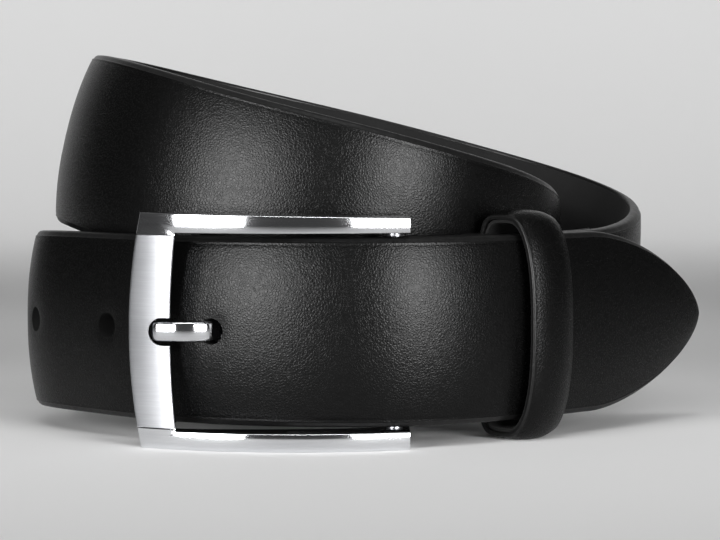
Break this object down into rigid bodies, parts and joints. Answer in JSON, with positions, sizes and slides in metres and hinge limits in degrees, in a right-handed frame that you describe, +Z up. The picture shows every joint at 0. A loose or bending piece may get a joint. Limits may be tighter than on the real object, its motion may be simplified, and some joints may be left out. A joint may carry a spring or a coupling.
{
  "type": "leather dress belt",
  "caption": "Black crowned leather dress belt with a polished pin buckle, buckled and coiled in nested turns with a raised loop.",
  "frame": {"origin": "on the ground under the middle of the coiled belt's box", "axes": "+X along the buckle from its bar to its pivot, +Y from the buckle into the coil, +Z up across the strap's width"},
  "size_m": [0.1356, 0.1231, 0.0742],
  "materials": {
    "black_leather": "semi-gloss grained calf",
    "keeper_leather": "semi-gloss grained calf",
    "lining_leather": "matt smooth split leather",
    "filler_foam": "matt foam",
    "fibre_board": "matt bonded fibre",
    "black_thread": "waxed",
    "polished_metal": "mirror polished",
    "satin_metal": "fine cross-brushed",
    "pin_steel": "drawn wire"
  },
  "bodies": {
    "strap": {"strap_top_leather": "black_leather", "strap_crown_filler": "filler_foam", "strap_backing_board": "fibre_board", "strap_lining": "lining_leather", "fold_stitching": "black_thread"},
    "buckle": {"buckle_frame": "polished_metal", "bar_facing": "satin_metal", "pivot_pin": "pin_steel"},
    "prong_body": {"prong": "polished_metal"},
    "keeper": {"keeper_band": "keeper_leather", "keeper_lining": "lining_leather"}
  },
  "joints": [
    {"name": "frame_swing", "type": "hinge", "parent": "strap", "child": "buckle", "pos_m": [0.00555, -0.05006, 0.0216], "axis": [0, 0, 1], "range_deg": [0, 1.2]},
    {"name": "prong_swing", "type": "hinge", "parent": "buckle", "child": "prong_body", "pos_m": [0.00555, -0.05006, 0.0216], "axis": [0, 0, 1], "range_deg": [0, 1.2]},
    {"name": "keeper_slide", "type": "slide", "parent": "strap", "child": "keeper", "axis": [0.7193, 0.6947, 0], "range_m": [-0.001, 0.001]}
  ]
}
